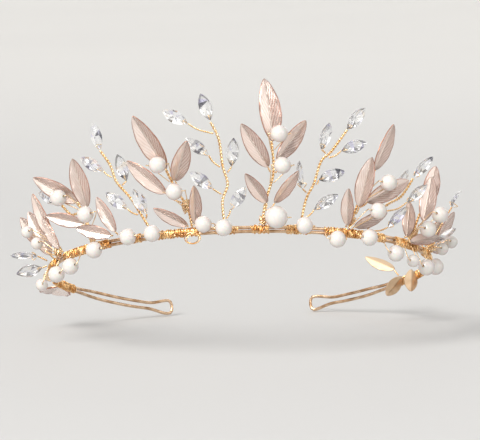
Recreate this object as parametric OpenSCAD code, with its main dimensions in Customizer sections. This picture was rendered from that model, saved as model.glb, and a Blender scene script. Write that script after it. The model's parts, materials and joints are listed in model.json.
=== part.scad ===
// Bridal tiara, wired by hand: a doubled spring wire with sprigs of leaves, pearls and crystals bound to it.
// The origin is the centre of the head opening. +Z is up, the front faces -Y, and the front of the band
// stands higher than its ends, as it does on a head.

/* [Band] */
// Radius of the circle that the band follows
band_r = 70; // [58:1:84]
// Diameter of the spring wire, which runs round the band twice
band_wire_d = 1.2; // [0.9:0.1:1.6]
// Space between the two runs of the band where they are bound together
run_gap = 0.2; // [0.1:0.1:0.6]
// Space between the two runs along the bare arms
arm_gap = 1.2; // [0.6:0.1:2]
// Width of the end loops, outside the wire
loop_w = 6.6; // [5:0.2:9]
// Length of the end loops
loop_l = 8; // [6:0.5:12]
// Distance across the back, from one end loop to the other
back_gap = 56; // [36:1:60]
// Angle by which the front of the band is raised
band_tilt = 18; // [0:1:25]
// How far the ends of the bare arms are bent down from the plane of the band
arm_drop = 1.8; // [0:0.2:4]

/* [Binding] */
// Thickness of the layer of binding wire
binding_t = 0.5; // [0.3:0.1:0.8]
// Clearance between the binding and the band wire
binding_clear = 0.05; // [0.02:0.01:0.1]
// Diameter of the stems of the leaf sprigs
stem_d = 1.1; // [0.8:0.1:1.4]
// Diameter of the twigs that carry leaves and crystals
twig_d = 0.7; // [0.5:0.1:0.9]
// Diameter of the fine wire that threads pearls and crystals
thread_d = 0.4; // [0.3:0.05:0.5]

/* [Pearls] */
// Diameter of the large pearl at the foot of the centre sprig
big_pearl_d = 8; // [7:0.5:10]
// Diameter of the pearls in the sprigs and along the band
pearl_d = 6; // [5:0.5:7]
// Diameter of the small pearls in the side clusters
small_pearl_d = 4.6; // [4:0.2:5]
// Clearance between wires that lie side by side
wire_clear = 0.1; // [0.05:0.05:0.2]
// Clearance between a thread and the hole it passes through
thread_clear = 0.2; // [0.1:0.05:0.3]

/* [Leaves] */
// Length of the leaf at the top of the centre sprig
crown_leaf_l = 22; // [18:1:26]
// Length of the large leaves
large_leaf_l = 18; // [15:1:21]
// Length of the small leaves
small_leaf_l = 14; // [11:1:16]
// Width of a leaf as a share of its length
leaf_slim = 0.38; // [0.3:0.02:0.46]
// Thickness of the stamped leaf
leaf_t = 0.4; // [0.3:0.05:0.6]
// Angle by which each half of a leaf rises from its midrib
leaf_fold = 20; // [5:1:30]

/* [Crystals] */
// Length of the marquise crystals
crystal_l = 10; // [8:0.5:12]
// Width of the marquise crystals
crystal_w = 4.6; // [3.6:0.2:5.6]
// Thickness of the marquise crystals
crystal_t = 3; // [2:0.2:4]

/* [Hidden] */

gold = [0.86, 0.64, 0.36];
pale_gold = [0.9, 0.75, 0.56];
rose = [0.89, 0.66, 0.58];
ivory = [0.96, 0.94, 0.9];
clear = [0.9, 0.93, 0.97, 0.5];

run_off = (band_wire_d + run_gap) / 2;
arm_off = (band_wire_d + arm_gap) / 2;
loop_off = (loop_w - band_wire_d) / 2;
binding_r = band_wire_d / 2 + binding_t;
band_top = run_off + binding_r;
end_a = 180 - asin(back_gap / 2 / band_r);
hole_d = thread_d + 2 * thread_clear;
deg_per_mm = 180 / (PI * band_r);
band_sides = 8;
left_arm_a = -119;
right_arm_a = 127;
arm_bend_a = 118;
sprig_flare = 18;
tail_below = 3;

// ---- helpers ----

function unit(v) = v / norm(v);
function square_to(v, t) = unit(v - (v * t) * t);
function mix(a, b, k) = a * (1 - k) + b * k;
function ease(k) = let (c = max(0, min(1, k))) c * c * (3 - 2 * c);

// A point on a smooth curve through four points, between the second and the third
function between(a, b, c, d, k) = (2 * b + (c - a) * k + (2 * a - 5 * b + 4 * c - d) * k * k
    + (3 * b - 3 * c + d - a) * k * k * k) / 2;
function smooth(p, n) = let (last = len(p) - 1) [
    for (i = [0 : last - 1], k = [0 : n - 1])
        between(p[max(i - 1, 0)], p[i], p[i + 1], p[min(i + 2, last)], k / n),
    p[last]];

// The directions along a wire, and a side direction carried on from point to point
function tangents(p) = [for (i = [0 : len(p) - 1])
    unit(p[min(i + 1, len(p) - 1)] - p[max(i - 1, 0)])];
function carried(t) = [for (i = 0, s = square_to([0.31, 0.94, 0.12], t[0]); i < len(t);
    i = i + 1, s = i < len(t) ? square_to(s, t[i]) : s) s];

// A wire along a list of points
wire_sides = 6;
module wire(p, d) {
    t = tangents(p);
    s = carried(t);
    last = len(p) - 1;
    polyhedron(
        points = [for (i = [0 : last], k = [0 : wire_sides - 1]) let (b = 360 * k / wire_sides)
            p[i] + d / 2 * (cos(b) * s[i] + sin(b) * cross(t[i], s[i]))],
        faces = concat(
            [[for (k = [0 : wire_sides - 1]) k]],
            [[for (k = [wire_sides - 1 : -1 : 0]) last * wire_sides + k]],
            [for (i = [0 : last - 1], k = [0 : wire_sides - 1]) let (
                m = (k + 1) % wire_sides, a = i * wire_sides + k, b = i * wire_sides + m)
                each [[a, a + wire_sides, b + wire_sides], [a, b + wire_sides, b]]]));
}

// Puts its children on the band at an angle from the front centre: X runs along the band, -Y points away
// from the head, and Z leans outwards by the flare
module on_band(a, flare = sprig_flare, rise = band_top) {
    rotate([-band_tilt, 0, 0]) rotate([0, 0, a])
        translate([0, -band_r, rise]) rotate([flare, 0, 0]) children();
}

// ---- band ----

// Half the distance between the two runs at an angle from the front centre
function half_gap(a) = let (
    arm = a < 0 ? left_arm_a - a : a - right_arm_a,
    to_loop = (end_a - abs(a)) / deg_per_mm)
    mix(mix(run_off, arm_off, ease(arm / 10)), loop_off, ease((loop_l - to_loop) / loop_l));
function band_point(a, z) = [band_r * sin(a), -band_r * cos(a),
    z - arm_drop * ease((abs(a) - arm_bend_a) / (end_a - arm_bend_a))];

// The whole run: out along the top, down round the right loop, back below, and up round the left loop
step_a = 5;
loop_turn = band_wire_d / band_r * 180 / PI;
band_path = concat(
    [for (a = [-end_a + 1 : step_a : end_a - 1]) band_point(a, half_gap(a))],
    [for (k = [-60 : 60 : 60]) band_point(end_a + loop_turn * cos(k), -loop_off * k / 75)],
    [for (a = [end_a - 1 : -step_a : -end_a + 1]) band_point(a, -half_gap(a))],
    [for (k = [60 : -60 : -60]) band_point(-end_a - loop_turn * cos(k), -loop_off * k / 75)]);

module band_wire() {
    n = len(band_path);
    color(gold) rotate([-band_tilt, 0, 0]) polyhedron(
        points = [for (i = [0 : n - 1]) let (
            p = band_path[i],
            t = unit(band_path[(i + 1) % n] - band_path[(i + n - 1) % n]),
            out = square_to([p[0], p[1], 0], t),
            across = cross(t, out))
            for (k = [0 : band_sides - 1]) let (b = 360 * k / band_sides)
                p + band_wire_d / 2 * (cos(b) * out + sin(b) * across)],
        faces = [for (i = [0 : n - 1], k = [0 : band_sides - 1]) let (
            j = (i + 1) % n, m = (k + 1) % band_sides,
            a = i * band_sides + k, b = i * band_sides + m,
            c = j * band_sides + m, d = j * band_sides + k) each [[a, c, b], [a, d, c]]]);
}

// Sleeves that stand for the turns of binding wire, each from one angle to another
module binding(stretches) {
    color(gold) rotate([-band_tilt, 0, 0]) for (s = stretches)
        rotate([0, 0, s[0] - 90]) rotate_extrude(angle = s[1] - s[0], $fn = 180)
            translate([band_r, 0]) difference() {
                union() {
                    square([2 * binding_r, 2 * run_off], center = true);
                    for (z = [-run_off, run_off]) translate([0, z]) circle(r = binding_r, $fn = 32);
                }
                for (z = [-run_off, run_off])
                    translate([0, z]) circle(d = band_wire_d + 2 * binding_clear, $fn = 32);
            }
}

module binding_left_side() { binding([[-117, -98], [-93, -70]]); }
module binding_left_front() { binding([[-64, -40], [-35, -29]]); }
module binding_front() { binding([[-26, -11], [-7, 0], [3, 9], [13, 21]]); }
module binding_right_front() { binding([[25, 40], [44, 48], [52, 66]]); }
module binding_right_side() { binding([[70, 92], [102, 125]]); }

// ---- leaves ----

// Half the width of a leaf at a share of its length from the base
function leaf_half(k, w) = 0.35 + (w / 2 - 0.35) * pow(sin(180 * pow(k, 0.9)), 0.85);

// A folded leaf along +Z with its hollow face towards -Y; bow bends its tip forwards
module leaf(l, bow) {
    rows = 6;
    w = l * leaf_slim;
    cols = [-1, -0.5, 0, 0.5, 1];
    m = len(cols);
    face = [for (i = [0 : rows], c = cols) let (
        k = i / rows, half = i == rows ? 0.1 : i == 0 ? 0.35 : leaf_half(k, w))
        [c * half, -abs(c) * half * tan(leaf_fold) - bow * k * k, k * l]];
    back = [for (p = face) p + [0, leaf_t, 0]];
    n = len(face);
    polyhedron(points = concat(face, back), faces = concat(
        [for (i = [0 : rows - 1], j = [0 : m - 2]) let (a = i * m + j)
            each [[a, a + m + 1, a + 1], [a, a + m, a + m + 1]]],
        [for (i = [0 : rows - 1], j = [0 : m - 2]) let (a = n + i * m + j)
            each [[a, a + 1, a + m + 1], [a, a + m + 1, a + m]]],
        [for (i = [0 : rows - 1], s = [0, m - 1]) let (a = i * m + s, b = a + m)
            each s == 0 ? [[a, a + n, b + n], [a, b + n, b]] : [[a, b + n, a + n], [a, b, b + n]]],
        [for (j = [0 : m - 2], i = [0, rows]) let (a = i * m + j, b = a + 1)
            each i == 0 ? [[a, b, b + n], [a, b + n, a + n]] : [[a, b + n, b], [a, a + n, b + n]]]));
}

// A leaf in a list: [length, base, lean to the side, lean outwards, turn about its own midrib, bow]
module leaves(list) {
    for (v = list)
        translate(v[1]) rotate([0, v[2], 0]) rotate([v[3], 0, 0]) rotate([0, 0, v[4]]) leaf(v[0], v[5]);
}

// ---- pearls ----

// A pearl drilled from side to side, for its thread
module pearl(d) {
    difference() {
        sphere(d = d, $fn = 48);
        rotate([0, 90, 0]) cylinder(d = hole_d, h = d + 2, center = true, $fn = 24);
    }
}

// Pearls in a list: [diameter, centre]
module pearls(list) {
    for (v = list) translate(v[1]) pearl(v[0]);
}

// A foot is the point of a stem from which a wire leaves it, with the stem's direction there

// The thread of a pearl: from the front of its foot, round behind the pearl, through the hole, and back
module thread(v, foot) {
    side = v[0] / 2 + 0.5;
    start = foot[0] + square_to([0, -1, 0], foot[1]) * ((stem_d + thread_d) / 2 + wire_clear);
    off = [(twig_d + thread_d) / 2 + wire_clear, 0, 0];
    behind = 0.35 * v[0];
    wire([start - off, v[1] + [-side, behind, -0.5], v[1] + [-side, 0, 0],
        v[1] + [side, 0, 0], v[1] + [side, behind, -0.5], start + off], thread_d);
}

// A twig from the surface of a stem to just short of a point
module twig(foot, p) {
    out = square_to(p - foot[0], foot[1]);
    start = foot[0] + out * ((stem_d + twig_d) / 2 + wire_clear);
    stop = p - unit(p - start) * wire_clear;
    wire(smooth([start, mix(start, stop, 0.5) + out * norm(stop - start) / 10, stop], 2), twig_d);
}

// The short tail of a leaf that is bound straight to the band
module tail(p) {
    wire([[p[0], p[1] + 1, twig_d / 2 + wire_clear], p - [0, 0, wire_clear]], twig_d);
}

// The foot on a line from which a wire to p leaves: the highest point a little below p
function foot_of(line, p) = let (
    t = tangents(line),
    below = [for (i = [0 : len(line) - 1])
        if (line[i][2] < p[2] - 0.35 * norm([line[i][0] - p[0], line[i][1] - p[1]])) [line[i], t[i]]])
    len(below) > 0 ? below[len(below) - 1] : [line[0], t[0]];

// A stem with a twig to the base of each leaf and a thread through each pearl
module sprig_stem(path, leaf_list, pearl_list) {
    line = smooth(path, 3);
    top = path[len(path) - 1];
    wire(line, stem_d);
    for (v = leaf_list)
        if (v[1][2] < tail_below) tail(v[1]);
        else if (norm(v[1] - top) > stem_d) twig(foot_of(line, v[1]), v[1]);
    for (v = pearl_list) thread(v, foot_of(line, v[1] - [0, 0, 3]));
}

// ---- crystals ----

// A marquise crystal along +Z, pointed at both ends, with a table and two rows of facets on each face, and a
// hole drilled from front to back near its lower end
hole_up = 1.8;
loop_reach = crystal_t / 2 + 0.1;
function crystal_half(k) = crystal_w / 2 * pow(sin(180 * k), 0.8);
module crystal() {
    rows = 6;
    ring = [0, 55, 125, 180, 235, 305];
    n = len(ring);
    pts = concat([[0, 0, 0]],
        [for (i = [1 : rows - 1], b = ring) let (half = crystal_half(i / rows))
            [half * cos(b), crystal_t / crystal_w * half * sin(b), crystal_l * i / rows]],
        [[0, 0, crystal_l]]);
    top = len(pts) - 1;
    difference() {
        polyhedron(points = pts, faces = concat(
            [for (k = [0 : n - 1]) [0, 1 + k, 1 + (k + 1) % n]],
            [for (i = [0 : rows - 3], k = [0 : n - 1]) let (
                a = 1 + i * n + k, b = 1 + i * n + (k + 1) % n) each [[a, a + n, b + n], [a, b + n, b]]],
            [for (k = [0 : n - 1]) [top, top - n + (k + 1) % n, top - n + k]]));
        translate([0, 0, hole_up]) rotate([90, 0, 0])
            cylinder(d = hole_d, h = crystal_t + 2, center = true, $fn = 24);
    }
}

// Crystals in a list: [lower end, lean to the side, lean outwards, turn about its own length]
module crystals(list) {
    for (v = list)
        translate(v[0]) rotate([0, v[1], 0]) rotate([v[2], 0, 0]) rotate([0, 0, v[3]]) crystal();
}

// The small loop of thread through a crystal's hole, clear of the wire that carries the crystal
loop_up = 0.4;
module crystal_loop(v, carrier_d) {
    foot_reach = (carrier_d + thread_d) / 2 + wire_clear;
    translate(v[0]) rotate([0, v[1], 0]) rotate([v[2], 0, 0]) rotate([0, 0, v[3]])
        wire([[0, -foot_reach, loop_up], [0, -loop_reach, hole_up], [0, loop_reach, hole_up],
            [0, foot_reach, loop_up]], thread_d);
}

// A main wire with a twig to each crystal; the first crystal sits on the wire's own end
module spray_wire(path, list) {
    line = smooth(path, 3);
    wire(line, stem_d);
    crystal_loop(list[0], stem_d);
    for (v = [for (i = [1 : 1 : len(list) - 1]) list[i]]) {
        twig(foot_of(line, v[0]), v[0]);
        crystal_loop(v, twig_d);
    }
}

// ---- centre sprig ----

centre_a = 10;
centre_path = [[-4, 0, 0], [-3, 0, 8], [-0.5, 0, 18], [-1.5, 0, 29]];
centre_leaf_list = [
    [crown_leaf_l, [-0.7, 0, 29], -8, -5, 6, -1.5],
    [large_leaf_l, [-2.6, -0.8, 20], -33, 0, -14, 1],
    [large_leaf_l, [0.6, -0.8, 22.5], 38, -18, 16, 1],
    [small_leaf_l, [-2.8, -1.6, 7.5], -38, 12, -20, 1],
    [small_leaf_l, [0.2, -0.6, 7.5], 32, 10, 22, 1]];
centre_pearl_list = [[pearl_d, [0.4, -4.6, 32]], [pearl_d, [1.8, -4.6, 21]]];
large_pearl = [big_pearl_d, [0, -5.2, 3]];

module centre_stem() {
    color(gold) on_band(centre_a) {
        sprig_stem(centre_path, centre_leaf_list, centre_pearl_list);
        thread(large_pearl, [centre_path[0] + [2, 0, 1], [0, 0, 1]]);
    }
}
module centre_leaves() { color(rose) on_band(centre_a) leaves(centre_leaf_list); }
module centre_pearls() { color(ivory) on_band(centre_a) pearls(centre_pearl_list); }
module centre_large_pearl() { color(ivory) on_band(centre_a) pearls([large_pearl]); }

// ---- left front sprig ----

left_front_a = -13.8;
left_front_path = [[0.5, 0, 0], [-0.5, 0, 7], [-4, 0, 14], [-6.8, 0, 21]];
left_front_leaf_list = [
    [crown_leaf_l, [-6.8, 0, 21], -22, 8, -12, 2.5],
    [large_leaf_l, [-7.5, -0.8, 12.6], -46, -5, -16, 1],
    [large_leaf_l, [-3.6, -0.8, 16.5], 27, 24, 25, 1],
    [small_leaf_l, [2, -0.6, 1], 4, 8, 40, 1],
    [small_leaf_l, [-1, -0.6, 0.5], -50, 22, -18, 1.5]];
left_front_pearl_list = [[pearl_d, [-8, -6, 23.2]], [pearl_d, [-3.4, -4.8, 13.3]]];

module left_front_stem() {
    color(gold) on_band(left_front_a) sprig_stem(left_front_path, left_front_leaf_list, left_front_pearl_list);
}
module left_front_leaves() { color(rose) on_band(left_front_a) leaves(left_front_leaf_list); }
module left_front_pearls() { color(ivory) on_band(left_front_a) pearls(left_front_pearl_list); }

// ---- right front sprig ----

right_front_a = 36;
right_front_path = [[-3, 0, 0], [-1, 0, 8], [1.5, 0, 14], [4.3, 0, 21.5]];
right_front_leaf_list = [
    [large_leaf_l, [4.3, 0, 21.5], 20, -6, 10, 1],
    [large_leaf_l, [-1, -1.2, 8], 8, 0, -50, 1],
    [large_leaf_l, [2.4, -1.2, 10], 58, 5, -20, 1],
    [small_leaf_l, [-4.4, -0.6, 0.8], -14, 10, -60, 1],
    [small_leaf_l, [-1, -0.6, 0.8], 62, 2, 10, 1]];
right_front_pearl_list = [[pearl_d, [7.5, -5, 17.9]], [pearl_d, [4.2, -5.8, 7.6]]];

module right_front_stem() {
    color(gold) on_band(right_front_a)
        sprig_stem(right_front_path, right_front_leaf_list, right_front_pearl_list);
}
module right_front_leaves() { color(rose) on_band(right_front_a) leaves(right_front_leaf_list); }
module right_front_pearls() { color(ivory) on_band(right_front_a) pearls(right_front_pearl_list); }

// ---- left side sprig ----

left_side_a = -47;
left_side_path = [[0, 0, 0], [-1.5, 0, 6], [-2, 0, 11], [-3.4, 0, 15.2]];
left_side_leaf_list = [
    [large_leaf_l, [-3.4, 0, 15.2], -38, 28, 20, 1.5],
    [large_leaf_l, [1.2, -0.6, 12.5], -2, 0, 40, 1],
    [small_leaf_l, [-2.4, -0.8, 7.2], -60, 26, 10, 1.5],
    [small_leaf_l, [13.8, -1.8, 1.6], -16, 2, 20, 1],
    [small_leaf_l, [10.6, -1.4, 0.8], -66, 14, 10, 1]];
left_side_pearl_list = [[pearl_d, [-5.6, -6.4, 18.4]], [pearl_d, [4.2, -4.8, 10.2]]];

module left_side_stem() {
    color(gold) on_band(left_side_a) sprig_stem(left_side_path, left_side_leaf_list, left_side_pearl_list);
}
module left_side_leaves() { color(rose) on_band(left_side_a) leaves(left_side_leaf_list); }
module left_side_pearls() { color(ivory) on_band(left_side_a) pearls(left_side_pearl_list); }

// ---- right side sprig ----

right_side_a = 62;
right_side_path = [[-1, 0, 0], [0, 0, 4], [1, 0, 9], [3, 0, 13]];
right_side_leaf_list = [
    [large_leaf_l, [3.6, -0.4, 13.6], 28, -14, -45, 1],
    [large_leaf_l, [0.4, -2.6, 8], 20, -14, -50, 1],
    [small_leaf_l, [-3.4, 0.4, 1], 20, -20, -50, 1],
    [small_leaf_l, [-5, -2.2, -1], 70, 20, -50, 1]];
right_side_pearl_list = [[pearl_d, [0.6, -8.4, 11.4]], [pearl_d, [-1, -6, 5.2]]];

module right_side_stem() {
    color(gold) on_band(right_side_a) sprig_stem(right_side_path, right_side_leaf_list, right_side_pearl_list);
}
module right_side_leaves() { color(rose) on_band(right_side_a) leaves(right_side_leaf_list); }
module right_side_pearls() { color(ivory) on_band(right_side_a) pearls(right_side_pearl_list); }

// ---- left outer sprig ----

left_outer_a = -70;
left_outer_path = [[3, 0, 0], [2, 0, 2], [1, 0, 4], [0, 0, 6]];
left_outer_leaf_list = [
    [large_leaf_l, [0, 0, 6.4], 0, 1, 20, 2],
    [small_leaf_l, [5, -0.4, 2], -20, 0, 20, 1],
    [small_leaf_l, [-12, -0.4, 6], -16, 12, 60, 1],
    [large_leaf_l, [-9, 0.6, 2.2], -10, 4, 50, 1.5]];
left_outer_pearl_list = [[small_pearl_d, [-8, -5.4, 12.5]], [small_pearl_d, [-3.4, -4.8, 7]]];
left_outer_crystal_list = [[[-11.6, -3.4, 3.4], -20, 72, 0], [[-9.6, -3.6, -1.4], -60, 84, 30]];

left_outer_crystal_feet = [[-10.6, 0, 0], [-9.5, -0.9, -1.2]];

// Twigs that carry crystals straight from the band, each from its own foot
module outer_crystal_wires(list, feet) {
    for (i = [0 : len(list) - 1]) {
        twig([feet[i], [1, 0, 0]], list[i][0]);
        crystal_loop(list[i], twig_d);
    }
}

module left_outer_stem() {
    color(gold) on_band(left_outer_a) {
        sprig_stem(left_outer_path, left_outer_leaf_list, left_outer_pearl_list);
        outer_crystal_wires(left_outer_crystal_list, left_outer_crystal_feet);
    }
}
module left_outer_crystals() { color(clear) on_band(left_outer_a) crystals(left_outer_crystal_list); }
module left_outer_leaves() { color(rose) on_band(left_outer_a) leaves(left_outer_leaf_list); }
module left_outer_pearls() { color(ivory) on_band(left_outer_a) pearls(left_outer_pearl_list); }

// ---- right outer sprig ----

right_outer_a = 78;
right_outer_path = [[0, 0, 0], [0, -0.6, 2], [0, -1.4, 3.4], [0, -2.4, 5]];
right_outer_leaf_list = [
    [small_leaf_l, [0, -2.6, 5.4], 32, 5, -20, 1],
    [small_leaf_l, [-4, 0.6, 2.8], 40, 6, -20, 1],
    [small_leaf_l, [5, -1, 1], 60, 10, -20, 1]];
right_outer_pearl_list = [[small_pearl_d, [2, -7.4, 5.4]]];
right_outer_low_pearl = [small_pearl_d, [-3, -5.8, 1.4]];
right_outer_crystal_list = [[[0, -4.5, 17.8], 40, 4, 20], [[3.6, 0, 8], 50, 8, 0],
    [[-6, -3.4, 2.6], 30, 30, 60]];

right_outer_crystal_feet = [[-1.6, 0, 0], [2.2, 0.4, 0], [-5.6, -0.6, 0]];

module right_outer_stem() {
    color(gold) on_band(right_outer_a) {
        sprig_stem(right_outer_path, right_outer_leaf_list, right_outer_pearl_list);
        outer_crystal_wires(right_outer_crystal_list, right_outer_crystal_feet);
        thread(right_outer_low_pearl, [[-3, 0, 0], [0, 0, 1]]);
    }
}
module right_outer_crystals() { color(clear) on_band(right_outer_a) crystals(right_outer_crystal_list); }
module right_outer_leaves() { color(rose) on_band(right_outer_a) leaves(right_outer_leaf_list); }
module right_outer_pearls() {
    color(ivory) on_band(right_outer_a) pearls(concat(right_outer_pearl_list, [right_outer_low_pearl]));
}

// ---- leaves at the ends of the binding, with their plain backs towards the front ----

left_end_a = -110;
left_end_leaf_list = [
    [small_leaf_l, [0, -2.4, -0.4], -77, 36, -70, 1],
    [small_leaf_l, [-1.6, -2.4, 2], -45, 35, -70, 1],
    [small_leaf_l, [1.6, -2.8, -1.6], -86, 8, -60, 1]];
right_end_a = 118;
right_end_leaf_list = [
    [small_leaf_l, [4, 2.4, 2.4], 66, -37, 35, 1],
    [small_leaf_l, [-3.4, 2.4, -2.2], -152, -29, -90, 1],
    [small_leaf_l, [-10, 2.4, -0.6], -141, -10, -65, 1]];

module end_wires(list) {
    for (v = list) {
        middle = [v[1][0], 0, -band_top];
        side = unit(v[1] - middle) * (band_top + twig_d / 2 + wire_clear);
        wire([middle + side - [2 * sign(v[2]), 0, 0], v[1] - unit(v[1] - middle) * wire_clear], twig_d);
    }
}
module left_end_wires() { color(gold) on_band(left_end_a) end_wires(left_end_leaf_list); }
module left_end_leaves() { color(pale_gold) on_band(left_end_a) leaves(left_end_leaf_list); }
module right_end_wires() { color(gold) on_band(right_end_a) end_wires(right_end_leaf_list); }
module right_end_leaves() { color(pale_gold) on_band(right_end_a) leaves(right_end_leaf_list); }

// ---- crystal sprays, numbered from the left ----

spray_1_a = -47;
spray_1_path = [[-2.4, 0.4, 0], [-3, 2, 6], [-8, 3, 11], [-12, 3, 11.6], [-15, 2.4, 16]];
spray_1_list = [[[-15.4, 2.2, 16.6], -55, 8, 0]];
spray_2_a = -28;
spray_2_path = [[2.7, 0, 0], [-0.5, 0, 6.8], [-3.4, 0, 12.8], [-7.7, 0, 19], [-9, 0, 25], [-12, 0, 30.7]];
spray_2_list = [
    [[-12, 0, 31], -5, 0, 0],
    [[-12.1, 0, 23.4], -53, 5, 0],
    [[-3.4, -0.5, 18.8], -6, 8, 20],
    [[-5, -0.5, 9], -46, 5, 10],
    [[2.2, -0.5, 6.4], -15, 12, 30]];
spray_3_a = -4;
spray_3_path = [[0, 0, 0], [-0.3, 0, 8.4], [1.8, 0, 14.2], [0.4, 0, 20.5], [-0.5, 0, 30], [-3, 0, 36]];
spray_3_list = [
    [[-3, 0, 36.7], -18, 0, 0],
    [[-11, 0, 36], -60, 0, 10],
    [[-4.3, -0.3, 24.6], -50, 5, -15],
    [[3.5, -0.3, 20.4], 7, 0, 15],
    [[-3.5, -0.6, 13], -50, 8, 0],
    [[2.4, -0.6, 5.4], 36, 8, 20]];
spray_4_a = 20;
spray_4_path = [[-2.5, 0, 0], [-1.2, 0, 8.9], [1.3, 0, 14.7], [3.3, 0, 22.5], [6.7, 0, 26], [12.1, 0, 34]];
spray_4_list = [
    [[12.1, 0, 34.2], 38, 0, 0],
    [[3, -0.3, 26.6], 12, 5, 10],
    [[10.4, -0.3, 26.6], 70, 0, 0],
    [[2.7, -0.5, 16.1], 69, 6, -10],
    [[2, -0.5, 5.6], 54, 8, 10],
    [[-3, -0.5, 12.7], -13, 5, 50]];
spray_5_a = 44;
spray_5_path = [[-4.6, 0, 0.5], [0, 0, 7], [3.2, 0, 10.4], [9, 0, 14], [13.2, 0, 21]];
spray_5_list = [
    [[13.4, -0.2, 21.6], 26, 20, 0],
    [[6, -0.6, 14.4], 20, 0, 0],
    [[12, -0.6, 12.4], 42, 10, 0],
    [[4.4, -1, 2.4], 20, 26, 0]];

module spray_1_wire() { color(gold) on_band(spray_1_a) spray_wire(spray_1_path, spray_1_list); }
module spray_1_crystals() { color(clear) on_band(spray_1_a) crystals(spray_1_list); }
module spray_2_wire() { color(gold) on_band(spray_2_a) spray_wire(spray_2_path, spray_2_list); }
module spray_2_crystals() { color(clear) on_band(spray_2_a) crystals(spray_2_list); }
module spray_3_wire() { color(gold) on_band(spray_3_a) spray_wire(spray_3_path, spray_3_list); }
module spray_3_crystals() { color(clear) on_band(spray_3_a) crystals(spray_3_list); }
module spray_4_wire() { color(gold) on_band(spray_4_a) spray_wire(spray_4_path, spray_4_list); }
module spray_4_crystals() { color(clear) on_band(spray_4_a) crystals(spray_4_list); }
module spray_5_wire() { color(gold) on_band(spray_5_a) spray_wire(spray_5_path, spray_5_list); }
module spray_5_crystals() { color(clear) on_band(spray_5_a) crystals(spray_5_list); }

// ---- pearls along the band ----

// [angle, diameter, height above the middle of the band]; each one stands clear of the binding
left_row = [[-79, small_pearl_d, -6.6], [-62, pearl_d, -7], [-54, pearl_d, -6], [-43.5, pearl_d, -2.4], [-31.5, pearl_d, 0],
    [-24, pearl_d, 0], [-9.5, pearl_d, 1.6], [-4, pearl_d, 0]];
right_row = [[18, pearl_d, 0.7], [27.5, pearl_d, -3.6], [38, pearl_d, -1.8], [48, pearl_d, -6],
    [57, small_pearl_d, -7], [64, pearl_d, -8], [72, pearl_d, -6]];

function row_pearl(v) = [v[1], [0, -binding_r - v[1] / 2 - 0.3, v[2]]];
module row_pearls(list) {
    for (v = list) on_band(v[0], 0, 0) pearls([row_pearl(v)]);
}
// Each thread passes through its pearl and ends beside the band, on either side of the pearl
module row_wires(list) {
    for (v = list) on_band(v[0], 0, 0) {
        p = row_pearl(v);
        side = [p[0] / 2 + 0.5, 0, 0];
        top = max(-run_off, min(run_off, p[1][2]));
        behind = [0, -p[1][1] - binding_r - thread_d, top - p[1][2]];
        wire([p[1] - side + behind, p[1] - side, p[1] + side, p[1] + side + behind], thread_d);
    }
}
module band_pearls_left() { color(ivory) row_pearls(left_row); }
module band_pearls_right() { color(ivory) row_pearls(right_row); }
module band_pearl_wires_left() { color(gold) row_wires(left_row); }
module band_pearl_wires_right() { color(gold) row_wires(right_row); }

band_wire();
binding_left_side();
binding_left_front();
binding_front();
binding_right_front();
binding_right_side();
centre_stem();
centre_leaves();
centre_pearls();
centre_large_pearl();
left_front_stem();
left_front_leaves();
left_front_pearls();
right_front_stem();
right_front_leaves();
right_front_pearls();
left_side_stem();
left_side_leaves();
left_side_pearls();
right_side_stem();
right_side_leaves();
right_side_pearls();
left_outer_stem();
left_outer_leaves();
left_outer_pearls();
left_outer_crystals();
right_outer_stem();
right_outer_leaves();
right_outer_pearls();
right_outer_crystals();
left_end_wires();
left_end_leaves();
right_end_wires();
right_end_leaves();
spray_1_wire();
spray_1_crystals();
spray_2_wire();
spray_2_crystals();
spray_3_wire();
spray_3_crystals();
spray_4_wire();
spray_4_crystals();
spray_5_wire();
spray_5_crystals();
band_pearls_left();
band_pearls_right();
band_pearl_wires_left();
band_pearl_wires_right();
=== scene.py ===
# %% [markdown]
# A bridal tiara, wired by hand. A springy gold wire runs twice round the head, and fine binding wire holds
# sprigs of stamped rose-gold leaves, ivory pearls and cut crystals to it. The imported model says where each
# wire, leaf, pearl and crystal is. This lesson measures those plain solids and models the finished thing in
# their place: twisted wires, coils of binding, veined leaves, drilled pearls and faceted stones.

# %% Load the frame
import json
import math
import random

import bpy
import numpy as np
from mathutils import Matrix, Vector


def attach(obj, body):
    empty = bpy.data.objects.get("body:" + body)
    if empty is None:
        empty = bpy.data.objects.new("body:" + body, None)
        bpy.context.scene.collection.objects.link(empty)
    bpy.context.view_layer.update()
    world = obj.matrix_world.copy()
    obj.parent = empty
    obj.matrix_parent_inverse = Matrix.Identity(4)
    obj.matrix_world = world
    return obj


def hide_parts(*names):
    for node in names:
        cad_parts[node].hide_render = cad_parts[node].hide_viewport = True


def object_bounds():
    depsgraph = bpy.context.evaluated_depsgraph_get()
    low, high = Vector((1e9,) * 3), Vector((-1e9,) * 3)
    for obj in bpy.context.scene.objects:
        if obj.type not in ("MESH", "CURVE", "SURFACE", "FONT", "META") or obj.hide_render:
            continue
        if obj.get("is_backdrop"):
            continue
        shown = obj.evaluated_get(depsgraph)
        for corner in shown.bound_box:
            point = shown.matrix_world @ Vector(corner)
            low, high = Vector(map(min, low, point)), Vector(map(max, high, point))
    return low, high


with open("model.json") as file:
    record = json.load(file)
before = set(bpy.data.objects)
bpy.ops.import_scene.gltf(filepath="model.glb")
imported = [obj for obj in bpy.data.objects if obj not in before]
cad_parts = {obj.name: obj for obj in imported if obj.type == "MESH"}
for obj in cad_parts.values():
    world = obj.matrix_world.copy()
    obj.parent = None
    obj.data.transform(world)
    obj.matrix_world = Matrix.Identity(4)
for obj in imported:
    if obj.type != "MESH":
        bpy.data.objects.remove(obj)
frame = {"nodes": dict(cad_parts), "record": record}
MM = 0.001
low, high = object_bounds()
nodes = frame["nodes"]
print(len(nodes), "sub-parts in the frame, from", low, "to", high)

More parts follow.
